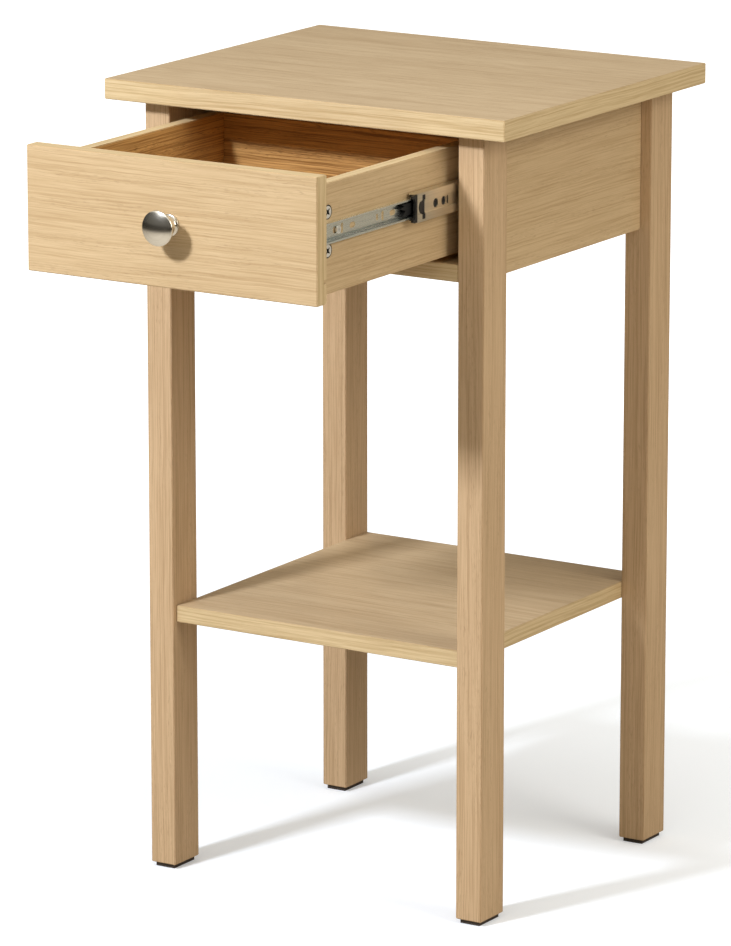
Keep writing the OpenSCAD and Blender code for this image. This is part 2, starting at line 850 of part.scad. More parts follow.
module drawer_cam_bolts() {
    pulled_out(drawer_open) drawer_cam_frames() cam_bolt(box_t, drawer_cam_reach);
}

module drawer_dowels() {
    pulled_out(drawer_open)
        drawer_dowel_frames() dowel(small_dowel_d, small_dowel_l, small_dowel_face_deep);
}

module drawer_back_screws() {
    pulled_out(drawer_open) back_screw_frames() screw(36, 2.4, 7.2, screw_d);
}

// ---- Knob -------------------------------------------------------------------------

// Out of the middle of the drawer front, along -Y
module knob_frame() {
    translate([0, y_front, front_z + front_h / 2]) rotate([90, 0, 0]) children();
}

// Points on an arc, from one angle to another
function arc(cx, cy, r, from, to, steps) =
    [for (i = [0:steps]) let (a = from + (to - from) * i / steps) [cx + r * cos(a), cy + r * sin(a)]];

// A turned knob: a flared foot, a hollow waist and a mushroom head with a
// low dome
module knob() {
    foot_r = knob_foot_d / 2;
    waist_r = knob_waist_d / 2;
    head_r = knob_d / 2;
    rim_r = 2.6;
    rim_h = knob_h - 4.2;
    dome = knob_h - rim_h - rim_r * 0.35;
    dome_r = (pow(head_r - rim_r * 0.4, 2) + dome * dome) / (2 * dome);
    dome_a = asin((head_r - rim_r * 0.4) / dome_r);
    waist_h = 8.5;
    flare_w = head_r - rim_r - waist_r;
    flare_h = rim_h - rim_r * 0.9 - waist_h;
    color("silver")
    pulled_out(drawer_open) knob_frame()
    difference() {
        rotate_extrude($fn = 64) polygon(concat(
            [[0, 0], [foot_r, 0], [foot_r, 1.6]],
            [for (i = [1:6]) let (t = i / 6)
                [foot_r + (waist_r - foot_r) * sin(90 * t), 1.6 + (waist_h - 1.6) * (1 - cos(90 * t))]],
            [for (i = [1:8]) let (t = i / 8)
                [waist_r + flare_w * (1 - cos(90 * t)), waist_h + flare_h * sin(90 * t)]],
            arc(head_r - rim_r, rim_h, rim_r, -70, 55, 6),
            [for (i = [8:-1:0]) let (a = dome_a * i / 8)
                [dome_r * sin(a) * (i == 8 ? 0.99 : 1), knob_h - dome_r * (1 - cos(a))]]
        ));
        translate([0, 0, -1]) cylinder(h = knob_screw_grip + 3, d = knob_screw_d + 2 * fit);
    }
}

// The machine screw that holds the knob, with its head inside the drawer
module knob_screw() {
    color("silver")
    pulled_out(drawer_open) knob_frame()
    difference() {
        union() {
            translate([0, 0, -front_t - 2.6]) cylinder(h = 2.6, d1 = 7, d2 = 8.2);
            translate([0, 0, -front_t - 0.1]) cylinder(h = front_t + knob_screw_grip, d = knob_screw_d);
        }
        for (turn = [0, 90])
            rotate([0, 0, turn]) translate([-2.2, -0.4, -front_t - 3.6]) cube([4.4, 0.8, 2.4]);
    }
}

// ---- Nodes ------------------------------------------------------------------------

top_panel();
bottom_panel();
back_panel();
shelf();
apron_dowels();
panel_dowels();
carcass_cam_locks();
carcass_cam_bolts();
cabinet_member_screws();
drawer_member_screws();
drawer_front();
drawer_back();
drawer_bottom();
drawer_cam_locks();
drawer_cam_bolts();
drawer_dowels();
drawer_back_screws();
knob();
knob_screw();
for (s = sides) {
    leg(s, "front");
    leg(s, "back");
    foot_pad(s, "front");
    foot_pad(s, "back");
    side_apron(s);
    cabinet_member(s);
    closing_stop(s);
    outer_ball_cage(s);
    outer_balls(s);
    middle_member(s);
    middle_bumper(s);
    inner_ball_cage(s);
    inner_balls(s);
    drawer_member(s);
    release_lever(s);
    drawer_side(s);
}
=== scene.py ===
import math

import bmesh
import bpy
import numpy as np
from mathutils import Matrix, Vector


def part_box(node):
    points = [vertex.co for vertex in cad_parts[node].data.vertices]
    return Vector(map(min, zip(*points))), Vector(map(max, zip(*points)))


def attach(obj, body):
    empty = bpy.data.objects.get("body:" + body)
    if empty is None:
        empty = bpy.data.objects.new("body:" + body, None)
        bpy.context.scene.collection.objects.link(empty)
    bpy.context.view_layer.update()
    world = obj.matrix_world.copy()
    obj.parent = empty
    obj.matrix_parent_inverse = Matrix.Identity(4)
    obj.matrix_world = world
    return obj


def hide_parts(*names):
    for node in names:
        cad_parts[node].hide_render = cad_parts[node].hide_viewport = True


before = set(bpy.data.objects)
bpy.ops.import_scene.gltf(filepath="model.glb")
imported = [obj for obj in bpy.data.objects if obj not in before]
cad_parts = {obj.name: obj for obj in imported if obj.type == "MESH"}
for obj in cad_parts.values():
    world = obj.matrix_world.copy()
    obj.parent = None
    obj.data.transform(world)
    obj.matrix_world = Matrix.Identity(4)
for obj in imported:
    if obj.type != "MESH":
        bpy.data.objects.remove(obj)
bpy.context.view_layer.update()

# ---- Studio --------------------------------------------------------------------------
# A white floor that runs out of view, a lamp in a soft box high in front and a
# little to the left, a weaker one at the right, and a room with dim walls under
# a pale ceiling that is brighter in front.
scene = bpy.context.scene
scene.view_settings.view_transform = "Standard"


def add(tree, kind, sockets=None, **settings):
    """A node of a kind, with its settings; a socket takes a value or the
    output of another node."""
    made = tree.nodes.new(kind)
    for key, value in settings.items():
        setattr(made, key, value)
    for key, value in (sockets or {}).items():
        if isinstance(value, bpy.types.NodeSocket):
            tree.links.new(value, made.inputs[key])
        else:
            made.inputs[key].default_value = value
    return made


def math_node(tree, operation, *values):
    return add(tree, "ShaderNodeMath", dict(enumerate(values)), operation=operation).outputs[0]


def ramp(tree, value, tint, stops):
    """A smooth change from stop to stop of a tint, each a place and a level."""
    made = add(tree, "ShaderNodeValToRGB", {"Fac": value})
    made.color_ramp.interpolation = "EASE"
    while len(made.color_ramp.elements) < len(stops):
        made.color_ramp.elements.new(0.5)
    for element, (place, level) in zip(made.color_ramp.elements, stops):
        element.position = place
        element.color = (*(level * part for part in tint), 1)
    return made.outputs["Color"]


def sphere_point(azimuth, elevation):
    """A unit vector from the part: azimuth 0 is the front, 90 the right."""
    a, e = math.radians(azimuth), math.radians(elevation)
    return Vector((math.sin(a) * math.cos(e), -math.cos(a) * math.cos(e), math.sin(e)))


camera_target = Vector((-0.04692, 0, 0.34109))
camera_distance = 5.2207
camera_azimuth, camera_elevation = 31.987, 13.432
camera = bpy.data.objects.new("camera", bpy.data.cameras.new("camera"))
camera.data.lens = 224.23
camera.location = camera_target + camera_distance * sphere_point(camera_azimuth, camera_elevation)
camera.rotation_euler = (camera_target - camera.location).to_track_quat("-Z", "Y").to_euler()
camera.data.clip_end = 60
scene.collection.objects.link(camera)
scene.camera = camera

room_tint = (1.0, 0.93, 0.79)
wall_level, ceiling_start, ceiling_level = 0.06, 0.58, 0.62
side_strength, front_strength = 1.1, 2.0
room = bpy.data.worlds.new("room")
room.use_nodes = True
tree = room.node_tree
direction = add(tree, "ShaderNodeSeparateXYZ", {
    0: add(tree, "ShaderNodeTexCoord").outputs["Generated"]}).outputs
walls = ramp(tree, direction["Z"], room_tint, [
    (0.0, wall_level), (0.40, wall_level), (0.50, ceiling_start), (1.0, ceiling_level)])
tree.links.new(walls, tree.nodes["Background"].inputs["Color"])
panel = add(tree, "ShaderNodeMapRange", {
    "Value": direction["Y"], "From Min": -0.35, "From Max": -0.6,
    "To Min": side_strength, "To Max": front_strength}).outputs[0]
tree.links.new(panel, tree.nodes["Background"].inputs["Strength"])
scene.world = room


def soft_box(name, place, target, size, watts, colour):
    """A square lamp that faces its target."""
    lamp = bpy.data.lights.new(name, "AREA")
    lamp.shape = "SQUARE"
    lamp.size = size
    lamp.energy = watts
    lamp.color = colour
    made = bpy.data.objects.new(name, lamp)
    made.location = place
    made.rotation_euler = (Vector(target) - Vector(place)).to_track_quat("-Z", "Y").to_euler()
    scene.collection.objects.link(made)


soft_box("key", place=(-0.51, -1.84, 1.77), target=(0, -0.1, 0.45),
         size=0.24, watts=46.5, colour=(0.955, 0.985, 1.03))
soft_box("side_light", place=(2.4, -0.3, 1.6), target=(0, 0, 0.4),
         size=1.3, watts=30.0, colour=(1.0, 0.95, 0.84))

floor_reach = 14.0
floor_mesh = bpy.data.meshes.new("floor")
floor_mesh.from_pydata(
    [(-floor_reach, -floor_reach, 0), (floor_reach, -floor_reach, 0),
     (floor_reach, floor_reach, 0), (-floor_reach, floor_reach, 0)], [], [(0, 1, 2, 3)])
floor = bpy.data.objects.new("floor", floor_mesh)
scene.collection.objects.link(floor)
# The camera sees pale paper with a painted glow. Near the feet the glow is low, a painted shade there,
# and further off it rises, a painted light that keeps the far floor white. Other rays see a plain floor
# that reflects light up from near the part and none from far behind.
paper = bpy.data.materials.new("white_paper")
paper.use_nodes = True
tree = paper.node_tree
spot = add(tree, "ShaderNodeTexCoord").outputs["Object"]
front_foot, behind = (-0.16, -0.16, 0), (0.6, 1.2, 0)
foot_reach, behind_reach = 4.0, 6.0
from_foot, from_behind = (
    math_node(tree, "DIVIDE", add(tree, "ShaderNodeVectorMath", {0: spot, 1: centre},
                                  operation="DISTANCE").outputs["Value"], reach)
    for centre, reach in ((front_foot, foot_reach), (behind, behind_reach)))
bright = tree.nodes["Principled BSDF"]
bright.inputs["Base Color"].default_value = (0.78, 0.83, 0.91, 1)
bright.inputs["Roughness"].default_value = 0.9
bright.inputs["Specular IOR Level"].default_value = 0.0
bright.inputs["Emission Strength"].default_value = 1.0
# Painted light as emission: low near the front foot for painted shade there, rising far off for painted
# light.
painted_glow = ramp(tree, from_foot, (1.0, 1.02, 1.06), [(0.05, 0.20), (0.17, 0.36), (0.5, 0.85)])
tree.links.new(painted_glow, bright.inputs["Emission Color"])
bounce = ramp(tree, from_behind, (1.0, 0.92, 0.80), [(0.55, 0.52), (0.70, 0.05)])
dull = add(tree, "ShaderNodeBsdfDiffuse", {"Color": bounce}).outputs[0]
seen = add(tree, "ShaderNodeLightPath").outputs["Is Camera Ray"]
both = add(tree, "ShaderNodeMixShader", {0: seen, 1: dull, 2: bright.outputs[0]}).outputs[0]
tree.links.new(both, tree.nodes["Material Output"].inputs["Surface"])
floor_mesh.materials.append(paper)


# ---- Boards: foil, edge bands and sharp corners --------------------------------------
# Every board is particleboard in a printed oak foil, with a glued band of a
# yellower oak print on its narrow faces, and its outer edges are just broken.
X, Y, Z = 0, 1, 2


def new_group(name, inputs, outputs):
    """A node group, the sockets it is given and the sockets it puts out."""
    group = bpy.data.node_groups.new(name, "ShaderNodeTree")
    for socket, kind, value in inputs:
        made = group.interface.new_socket(socket, in_out="INPUT", socket_type=kind)
        if value is not None:
            made.default_value = value
    for socket, kind in outputs:
        group.interface.new_socket(socket, in_out="OUTPUT", socket_type=kind)
    return group, group.nodes.new("NodeGroupInput").outputs, group.nodes.new("NodeGroupOutput").inputs


def noise_at(tree, along, across, along_rate, across_rate, layer, detail=2.0, rough=0.5):
    """Noise drawn out along the grain. The rates are its waves for each unit of
    along and across, and layer is a number that keeps it apart from the rest."""
    place = add(tree, "ShaderNodeCombineXYZ", {
        0: math_node(tree, "MULTIPLY", along, along_rate),
        1: math_node(tree, "MULTIPLY", across, across_rate),
        2: layer})
    return add(tree, "ShaderNodeTexNoise", {
        "Vector": place.outputs[0], "Scale": 1.0, "Detail": detail,
        "Roughness": rough}).outputs["Fac"]


def spread(tree, value, low, high):
    """A value stretched so that low becomes 0 and high becomes 1, and cut off there."""
    return add(tree, "ShaderNodeMapRange", {"Value": value, "From Min": low, "From Max": high},
               clamp=True).outputs[0]


# Printed wood: broad tone, growth rings seen as contour lines of a slow noise,
# thin lines a set distance apart, finer lines between them, and short dark
# pores, all drawn out along the grain.
grain_group, given, put = new_group(
    "printed_grain",
    [("Place", "NodeSocketVector", None),
     ("Light", "NodeSocketColor", (0.6, 0.45, 0.25, 1)),
     ("Dark", "NodeSocketColor", (0.45, 0.3, 0.15, 1)),
     ("Pore", "NodeSocketColor", (0.3, 0.18, 0.08, 1)),
     ("Spacing", "NodeSocketFloat", 0.0035),
     ("Lines", "NodeSocketFloat", 1.0),
     ("Broad", "NodeSocketFloat", 0.3),
     ("Rings", "NodeSocketFloat", 0.2),
     ("Pores", "NodeSocketFloat", 0.5)],
    [("Color", "NodeSocketColor"), ("Height", "NodeSocketFloat"), ("Roughness", "NodeSocketFloat")])
tree = grain_group


def centred(value, amount):
    """A value between 0 and 1, moved to lie about 0 and multiplied."""
    return math_node(tree, "MULTIPLY", math_node(tree, "SUBTRACT", value, 0.5), amount)


bend_reach, wobble_reach = 0.016, 0.0016
place = add(tree, "ShaderNodeSeparateXYZ", {0: given["Place"]}).outputs
bend = centred(noise_at(tree, place[0], place[1], 1.8, 4.0, 1.5), bend_reach)
wobble = centred(noise_at(tree, place[0], place[1], 30.0, 40.0, 4.2), wobble_reach)
across = math_node(tree, "ADD", math_node(tree, "ADD", bend, wobble), place[1])
step = math_node(tree, "DIVIDE", across, given["Spacing"])
broad = spread(tree, noise_at(tree, place[0], across, 1.4, 20.0, 3.1), 0.32, 0.68)
line = spread(tree, noise_at(tree, place[0], step, 6.5, 1.7, 5.7, 1.0), 0.34, 0.54)
fine = spread(tree, noise_at(tree, place[0], step, 26.0, 4.6, 8.3, 2.0, 0.6), 0.34, 0.62)
slow = noise_at(tree, place[0], across, 1.9, 11.0, 12.9, 1.0)
ring_count = 150.0
wave = math_node(tree, "SINE", math_node(tree, "MULTIPLY", slow, ring_count))
rings = math_node(tree, "MULTIPLY_ADD", wave, 0.5, 0.5)
pore_noise = noise_at(tree, place[0], across, 150.0, 1500.0, 17.3, 1.0)
pore_zone = spread(tree, noise_at(tree, place[0], across, 8.0, 90.0, 21.1), 0.42, 0.60)
pores = math_node(tree, "MULTIPLY", spread(tree, pore_noise, 0.58, 0.70), pore_zone)
lined = math_node(tree, "MULTIPLY", given["Lines"],
                  math_node(tree, "ADD", centred(line, 0.55), centred(fine, 0.6)))
toned = math_node(tree, "ADD", centred(broad, given["Broad"]), centred(rings, given["Rings"]))
contrast = math_node(tree, "ADD", math_node(tree, "ADD", lined, toned), 0.50)
tone = add(tree, "ShaderNodeMix", {0: contrast, 6: given["Dark"], 7: given["Light"]},
           data_type="RGBA", clamp_factor=True).outputs[2]
pored = add(tree, "ShaderNodeMix", {
    0: math_node(tree, "MULTIPLY", pores, given["Pores"]), 6: tone, 7: given["Pore"]},
    data_type="RGBA").outputs[2]
tree.links.new(pored, put["Color"])
raised = math_node(tree, "SUBTRACT", math_node(tree, "MULTIPLY", line, 0.5), pores)
tree.links.new(raised, put["Height"])
tree.links.new(math_node(tree, "MULTIPLY_ADD", fine, 0.10, 0.40), put["Roughness"])


grain_relief = 0.00012


def oak(name, light, dark, pore, spacing, lines, broad, rings, pores):
    """A printed oak surface that follows a piece's grain UV map. spacing is the
    metres between lines; the last four say how strongly each effect shows."""
    made = bpy.data.materials.new(name)
    made.use_nodes = True
    tree = made.node_tree
    shader = tree.nodes["Principled BSDF"]
    print_ = add(tree, "ShaderNodeGroup", node_tree=grain_group)
    tree.links.new(add(tree, "ShaderNodeUVMap", uv_map="grain").outputs[0], print_.inputs["Place"])
    values = {"Light": (*light, 1), "Dark": (*dark, 1), "Pore": (*pore, 1), "Spacing": spacing,
              "Lines": lines, "Broad": broad, "Rings": rings, "Pores": pores}
    for key, value in values.items():
        print_.inputs[key].default_value = value
    tree.links.new(print_.outputs["Color"], shader.inputs["Base Color"])
    tree.links.new(print_.outputs["Roughness"], shader.inputs["Roughness"])
    relief = add(tree, "ShaderNodeBump",
                 {"Height": print_.outputs["Height"], "Distance": grain_relief, "Strength": 0.5})
    tree.links.new(relief.outputs[0], shader.inputs["Normal"])
    shader.inputs["Specular IOR Level"].default_value = 0.3
    return made


oak_foil = oak("oak_foil", light=(0.605, 0.450, 0.270), dark=(0.425, 0.288, 0.150),
               pore=(0.25, 0.155, 0.075), spacing=0.0026, lines=0.75, broad=0.14, rings=0.05,
               pores=0.30)
top_foil = oak("oak_top_foil", light=(0.570, 0.440, 0.285), dark=(0.435, 0.312, 0.185),
               pore=(0.27, 0.18, 0.095), spacing=0.0048, lines=0.85, broad=0.25, rings=0.14,
               pores=0.30)
oak_band = oak("oak_edge_band", light=(0.660, 0.515, 0.310), dark=(0.480, 0.345, 0.178),
               pore=(0.36, 0.25, 0.13), spacing=0.0032, lines=1.0, broad=0.20, rings=0.0,
               pores=0.15)
leg_foil = oak("oak_leg_foil", light=(0.600, 0.428, 0.265), dark=(0.425, 0.282, 0.158),
               pore=(0.25, 0.155, 0.075), spacing=0.0017, lines=1.1, broad=0.20, rings=0.0,
               pores=0.35)
inside_foil = oak("inside_oak", light=(0.560, 0.320, 0.112), dark=(0.240, 0.115, 0.032),
                  pore=(0.10, 0.045, 0.014), spacing=0.0024, lines=1.2, broad=0.20, rings=0.05,
                  pores=0.60)
# A dark print for broken edges: partly the foil's darker turn, partly painted shade for the grooves
# where boards meet.
edge_turn_and_painted_shade = oak("oak_edge_line", light=(0.240, 0.150, 0.070), dark=(0.150, 0.090, 0.040),
                pore=(0.14, 0.08, 0.035), spacing=0.0036, lines=0.8, broad=0.20, rings=0.0,
                pores=0.3)


def merged_copy(node):
    """A CAD node's mesh with its doubles merged and its flat faces made whole."""
    shape = bmesh.new()
    shape.from_mesh(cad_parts[node].data)
    bmesh.ops.remove_doubles(shape, verts=shape.verts, dist=2e-6)
    bmesh.ops.dissolve_limit(shape, angle_limit=math.radians(1), verts=shape.verts,
                             edges=shape.edges)
    return shape


def flat_faced(name, shape):
    """A new object with a shape's mesh and flat shading."""
    for face in shape.faces:
        face.smooth = False
    made = bpy.data.objects.new(name, bpy.data.meshes.new(name))
    shape.to_mesh(made.data)
    shape.free()
    scene.collection.objects.link(made)
    return made


def values_of(items, key, size, kind=float):
    """One attribute of all a mesh's items, as rows of a given length."""
    flat = np.zeros(len(items) * size, kind)
    items.foreach_get(key, flat)
    return flat.reshape(-1, size) if size > 1 else flat


edge_break = 0.0006
shortest_edge = 0.004
on_box = 2e-5
print_step_along, print_step_across = 0.713, 0.359


def board(node, body, grain, thick, foils, shift, rim=None):
    """A copy of a board's CAD solid, merged and with its outer edges broken.

    grain and thick are the axes of the grain and of the thickness. foils are
    the broad faces' finish, the narrow faces' finish, and the finish of the
    broad face that looks towards the part's middle; rim is the finish of the
    broken edges, where it differs: a dark print, partly the foil's darker turn
    and partly painted shade for the grooves where boards meet. The grain map's
    first coordinate runs along the grain and the second across it, both in
    metres, and each side of the board has its own part of the print. shift is a
    whole number that sets each board's print apart."""
    lo, hi = (np.array(c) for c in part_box(node))
    shape = merged_copy(node)

    def on_box_edge(edge):
        ends = np.array([v.co for v in edge.verts])
        touching = (np.abs(ends - lo) < on_box) | (np.abs(ends - hi) < on_box)
        return (touching[0] & touching[1]).sum() >= 2

    outer = [e for e in shape.edges if on_box_edge(e) and e.calc_length() > shortest_edge]
    bmesh.ops.bevel(shape, geom=outer, offset=edge_break, segments=2, affect="EDGES",
                    clamp_overlap=True)
    made = flat_faced(node + "_board", shape)
    mesh = made.data
    normals = values_of(mesh.polygons, "normal", 3)
    totals = values_of(mesh.polygons, "loop_total", 1, int)
    coords = values_of(mesh.vertices, "co", 3)[values_of(mesh.loops, "vertex_index", 1, int)]
    facing = np.abs(normals).argmax(1)
    sign = np.sign(normals[np.arange(len(normals)), facing])
    longest = [max((a for a in (X, Y, Z) if a != f), key=lambda a: hi[a] - lo[a]) for f in (X, Y, Z)]
    along_of = np.array([grain if f != grain else longest[f] for f in (X, Y, Z)])[facing]
    across_of = 3 - facing - along_of
    face_of = np.repeat(np.arange(len(totals)), totals)
    own = shift + facing * 2 + (sign > 0)
    rows = np.arange(len(mesh.loops))
    u = coords[rows, along_of[face_of]] + (own * print_step_along)[face_of]
    v = coords[rows, across_of[face_of]] + (own * print_step_across)[face_of]
    grain_map = np.stack([u, v], 1).ravel().astype(np.float32)
    mesh.uv_layers.new(name="grain").data.foreach_set("uv", grain_map)
    middle = (lo + hi) / 2
    towards_middle = sign == -np.sign(middle[facing] + 1e-9)
    finish = np.where(facing == thick, np.where(towards_middle & (len(foils) > 2), 2, 0), 1)
    if rim:
        slanted = np.abs(normals).max(1) < 0.98
        finish = np.where(slanted, len(foils), finish)
    for foil in [*foils, rim] if rim else foils:
        mesh.materials.append(foil)
    mesh.polygons.foreach_set("material_index", finish.astype(np.int32))
    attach(made, body)
    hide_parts(node)


# ---- Top panel -----------------------------------------------------------------------
# An 18 mm board that lies on the side frames, with its grain across the width
# and a yellower band on all four narrow faces.
board("top_panel", "carcass", X, Z, [top_foil, oak_band], 0)

# ---- Legs ----------------------------------------------------------------------------
# Four legs of 25 by 38 mm, wrapped in foil with the grain upright, dowelled to
# the side aprons. Their broken corners are dark, partly as the wrap's darker
# turn and partly as painted shade for the grooves where boards meet.
for number, corner in enumerate(("front_left", "front_right", "back_left", "back_right")):
    board("leg_" + corner, "carcass", Z, X, [leg_foil, leg_foil], 11 + 7 * number, rim=edge_turn_and_painted_shade)

# ---- Aprons, bottom, back and shelf --------------------------------------------------
# Boards of 15 mm. The aprons stand between the legs, the bottom and the back
# close the drawer bay, and the shelf lies between the legs.
board("side_apron_left", "carcass", Y, X, [oak_foil, oak_band], 43, rim=edge_turn_and_painted_shade)
board("side_apron_right", "carcass", Y, X, [oak_foil, oak_band], 51, rim=edge_turn_and_painted_shade)
board("bottom_panel", "carcass", X, Z, [oak_foil, oak_band], 62)
board("back_panel", "carcass", X, Y, [oak_foil, oak_band], 71)
board("shelf", "carcass", X, Z, [top_foil, oak_band], 83, rim=edge_turn_and_painted_shade)

# ---- Drawer boards -------------------------------------------------------------------
# A 15 mm front with a horizontal grain, and sides and a back of 12 mm whose
# inner faces have a darker, redder foil. The bottom is a thin sheet in grooves.
board("drawer_front", "drawer", X, Y, [oak_foil, oak_band], 94, rim=edge_turn_and_painted_shade)
board("drawer_side_left", "drawer", Y, X, [oak_foil, oak_band, inside_foil], 103)
board("drawer_side_right", "drawer", Y, X, [oak_foil, oak_band, inside_foil], 112)
board("drawer_back", "drawer", X, Y, [inside_foil, oak_band], 121)
board("drawer_bottom", "drawer", X, Z, [inside_foil, inside_foil], 131)

# ---- Foot pads -----------------------------------------------------------------------
# Moulded glides of dark brown plastic, knocked into the ends of the legs.
texture_group, given, put = new_group(
    "fine_texture",
    [("Place", "NodeSocketVector", None),
     ("Light", "NodeSocketColor", (0.5, 0.5, 0.5, 1)),
     ("Dark", "NodeSocketColor", (0.4, 0.4, 0.4, 1)),
     ("Smooth", "NodeSocketFloat", 0.3),
     ("Rough", "NodeSocketFloat", 0.5)],
    [("Color", "NodeSocketColor"), ("Height", "NodeSocketFloat"), ("Roughness", "NodeSocketFloat")])
tree = texture_group
small = add(tree, "ShaderNodeTexNoise", {
    "Vector": given["Place"], "Scale": 1.0, "Detail": 3.0, "Roughness": 0.6}).outputs["Fac"]
large = add(tree, "ShaderNodeTexNoise", {
    "Vector": given["Place"], "Scale": 0.13, "Detail": 2.0, "Roughness": 0.5}).outputs["Fac"]
mixed = spread(tree, math_node(tree, "ADD", math_node(tree, "MULTIPLY", small, 0.6),
                               math_node(tree, "MULTIPLY", large, 0.4)), 0.36, 0.64)
tree.links.new(add(tree, "ShaderNodeMix", {0: mixed, 6: given["Dark"], 7: given["Light"]},
                   data_type="RGBA").outputs[2], put["Color"])
tree.links.new(add(tree, "ShaderNodeMix", {0: mixed, 2: given["Rough"], 3: given["Smooth"]},
                   data_type="FLOAT").outputs[0], put["Roughness"])
tree.links.new(small, put["Height"])


def textured(name, light, dark, smooth, rough, metallic, rates, relief, place=None):
    """A material with a fine texture: rates are its waves for each metre along
    X, Y and Z, and relief is its height in metres. smooth and rough are the
    least and the greatest roughness, and place turns the spot on the piece into
    other coordinates."""
    made = bpy.data.materials.new(name)
    made.use_nodes = True
    tree = made.node_tree
    shader = tree.nodes["Principled BSDF"]
    shader.inputs["Metallic"].default_value = metallic
    spot = add(tree, "ShaderNodeTexCoord").outputs["Object"]
    if place:
        spot = place(tree, spot)
    scaled = add(tree, "ShaderNodeMapping", {"Vector": spot, "Scale": rates}).outputs[0]
    texture = add(tree, "ShaderNodeGroup", node_tree=texture_group)
    tree.links.new(scaled, texture.inputs["Place"])
    values = {"Light": (*light, 1), "Dark": (*dark, 1), "Smooth": smooth, "Rough": rough}
    for key, value in values.items():
        texture.inputs[key].default_value = value
    tree.links.new(texture.outputs["Color"], shader.inputs["Base Color"])
    tree.links.new(texture.outputs["Roughness"], shader.inputs["Roughness"])
    bump = add(tree, "ShaderNodeBump",
               {"Height": texture.outputs["Height"], "Distance": relief, "Strength": 0.6})
    tree.links.new(bump.outputs[0], shader.inputs["Normal"])
    return made


def finish_nodes(names, material):
    """Gives CAD nodes whose shape is right a better material."""
    for name in names:
        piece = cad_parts[name]
        if not piece.material_slots:
            piece.data.materials.append(material)
        for slot in piece.material_slots:
            slot.material = material


pad_plastic = textured("pad_plastic", light=(0.060, 0.045, 0.038), dark=(0.036, 0.027, 0.023),
                       smooth=0.45, rough=0.65, metallic=0.0, rates=(1400, 1400, 1400), relief=0.00004)
finish_nodes([f"foot_pad_{end}_{side}" for end in ("front", "back") for side in ("left", "right")],
             pad_plastic)

# ---- Dowels --------------------------------------------------------------------------
# Turned and fluted beech, glued into the boards' edges.
beech = textured("beech", light=(0.66, 0.47, 0.29), dark=(0.52, 0.34, 0.19),
                 smooth=0.6, rough=0.8, metallic=0.0, rates=(900, 900, 900), relief=0.00006)
finish_nodes(["apron_dowels", "panel_dowels", "drawer_dowels"], beech)

# ---- Cam locks, bolts and screws -----------------------------------------------------
# Die-cast zinc cams, nickel plated, and rolled screws and bolts with a bright
# zinc plate. The drawer's cams carry painted shade: near black in their
# recesses and in a thin ring round their rims.
cast_zinc = textured("cast_zinc", light=(0.72, 0.71, 0.68), dark=(0.58, 0.57, 0.54),
                     smooth=0.30, rough=0.46, metallic=1.0, rates=(900, 900, 900), relief=0.00003)
finish_nodes(["carcass_cam_locks"], cast_zinc)
bright_steel = textured("bright_steel", light=(0.76, 0.76, 0.73), dark=(0.60, 0.60, 0.57),
                        smooth=0.22, rough=0.36, metallic=1.0, rates=(1600, 1600, 1600), relief=0.00002)
finish_nodes(["carcass_cam_bolts", "drawer_cam_bolts", "cabinet_member_screws",
              "drawer_back_screws", "knob_screw"], bright_steel)


def paint_cam_shade(material, depth_from, y, heights, radius):
    """Paints near-black shade onto a cam: below its face, by how far it lies from
    the middle of the part along X, and as a ring beyond a radius about the axis
    at each of two heights."""
    tree = material.node_tree
    shader = tree.nodes["Principled BSDF"]
    texture = shader.inputs["Base Color"].links[0].from_socket
    spot = add(tree, "ShaderNodeSeparateXYZ",
               {0: add(tree, "ShaderNodeTexCoord").outputs["Object"]}).outputs
    sunk = math_node(tree, "LESS_THAN", math_node(tree, "ABSOLUTE", spot[0]), depth_from)
    level = add(tree, "ShaderNodeCombineXYZ", {1: spot[1], 2: spot[2]}).outputs[0]
    far = [math_node(tree, "GREATER_THAN", add(
        tree, "ShaderNodeVectorMath", {0: level, 1: (0, y, z)},
        operation="DISTANCE").outputs["Value"], radius) for z in heights]
    mask = math_node(tree, "MAXIMUM", sunk, math_node(tree, "MULTIPLY", far[0], far[1]))
    # Painted shade: near black in the recess and in the ring at the rim.
    painted_cam_shade = add(tree, "ShaderNodeMix", {0: mask, 6: texture, 7: (0.025, 0.022, 0.020, 1)},
               data_type="RGBA").outputs[2]
    tree.links.new(painted_cam_shade, shader.inputs["Base Color"])


drawer_cam = textured("drawer_cam_zinc", light=(0.93, 0.92, 0.90), dark=(0.80, 0.79, 0.77),
                      smooth=0.38, rough=0.54, metallic=0.6, rates=(900, 900, 900), relief=0.00003)
lo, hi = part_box("drawer_cam_locks")
cam_r = (hi[1] - lo[1]) / 2
# The painted shade starts this far below the face, and its ring at the rim is this wide.
face_deep, dark_rim = 0.0004, 0.0010
paint_cam_shade(drawer_cam, depth_from=hi[0] - face_deep, y=(lo[1] + hi[1]) / 2,
          heights=(lo[2] + cam_r, hi[2] - cam_r), radius=cam_r - dark_rim)
finish_nodes(["drawer_cam_locks"], drawer_cam)
slide_screw = textured("slide_screw_steel", light=(0.92, 0.92, 0.90), dark=(0.80, 0.80, 0.78),
                       smooth=0.30, rough=0.45, metallic=0.7, rates=(1600, 1600, 1600), relief=0.00002)
finish_nodes(["drawer_member_screws"], slide_screw)

# ---- Slides --------------------------------------------------------------------------
# Three channels of zinc-plated strip on each side, rolled with round bends, with
# two rows of balls in cages between each pair. The middle one is warmer in tone.
bend_r = 0.0005
shortest_bend = 0.05


